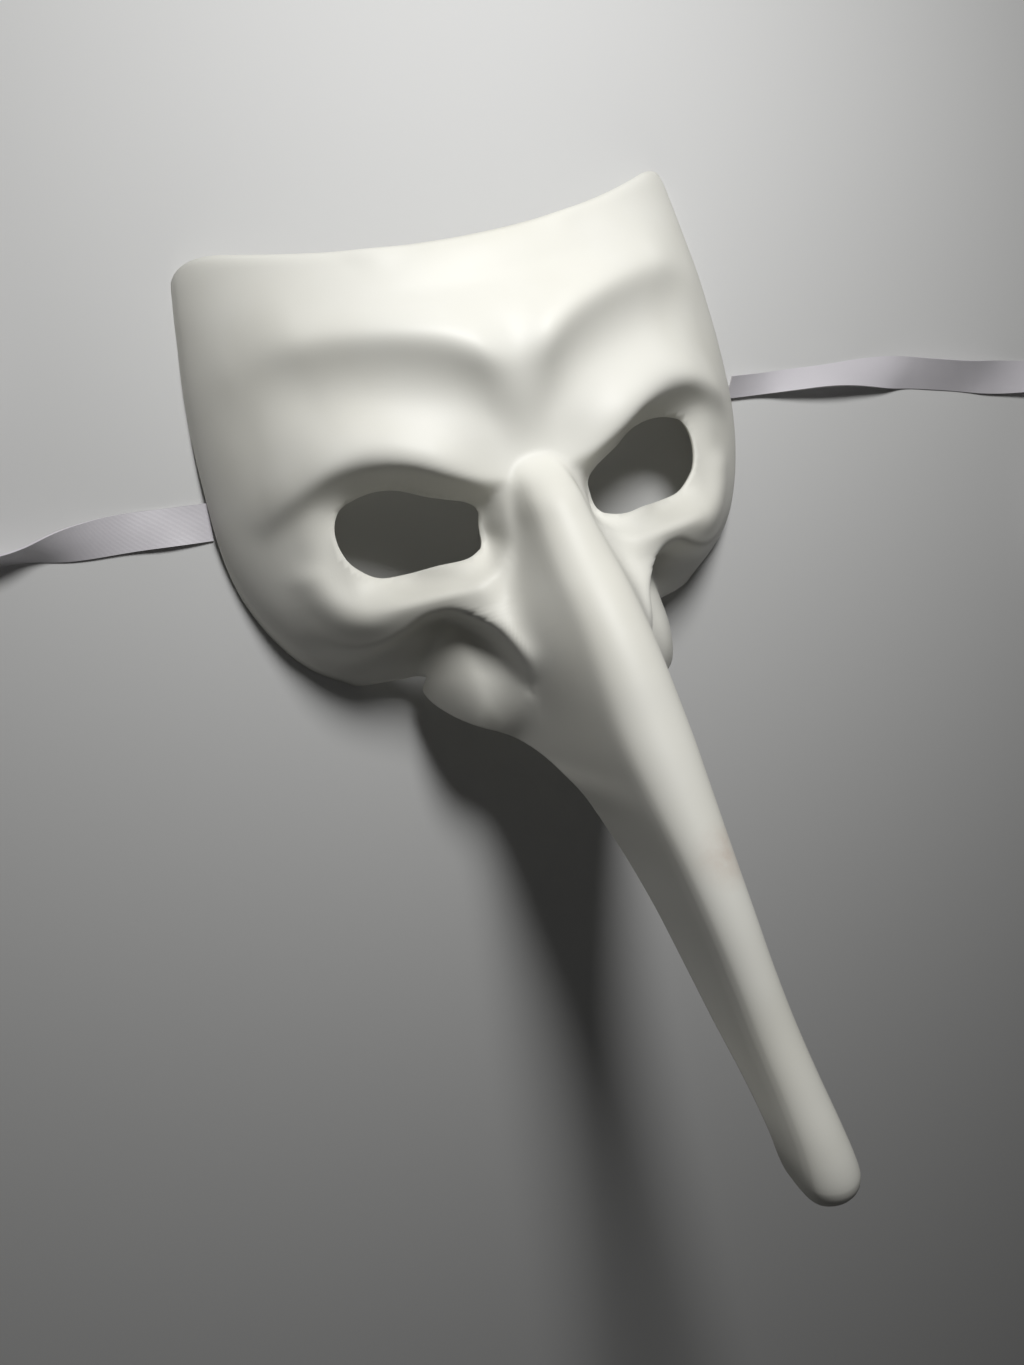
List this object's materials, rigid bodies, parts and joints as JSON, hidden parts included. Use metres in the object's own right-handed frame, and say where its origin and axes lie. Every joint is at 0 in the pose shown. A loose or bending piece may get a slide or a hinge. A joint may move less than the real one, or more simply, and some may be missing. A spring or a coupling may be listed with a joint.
{
  "type": "plague doctor mask",
  "caption": "Moulded half mask with a long open-backed beak, slanted eye holes and a satin ribbon glued inside each side for tying on.",
  "frame": {"origin": "on the table the mask lies on, under the middle of the mask's own box, ribbons left out", "axes": "+X across the face towards the ribbon at the right of the picture, +Y from the beak tip up to the forehead, +Z out of the face, up from the table"},
  "size_m": [0.531, 0.2821, 0.1263],
  "materials": {
    "shell_plastic": "matte, slightly soft-touch vacuum-formed sheet",
    "satin_ribbon": "satin weave with a soft sheen",
    "hot_melt": "cloudy hot-melt glue, smooth"
  },
  "bodies": {
    "root": {"mask_shell": "shell_plastic", "left_ribbon_tab": "satin_ribbon", "left_glue_dab": "hot_melt", "left_ribbon": "satin_ribbon", "left_ribbon_coil": "satin_ribbon", "right_ribbon_tab": "satin_ribbon", "right_glue_dab": "hot_melt", "right_ribbon": "satin_ribbon", "right_ribbon_coil": "satin_ribbon"}
  },
  "joints": []
}
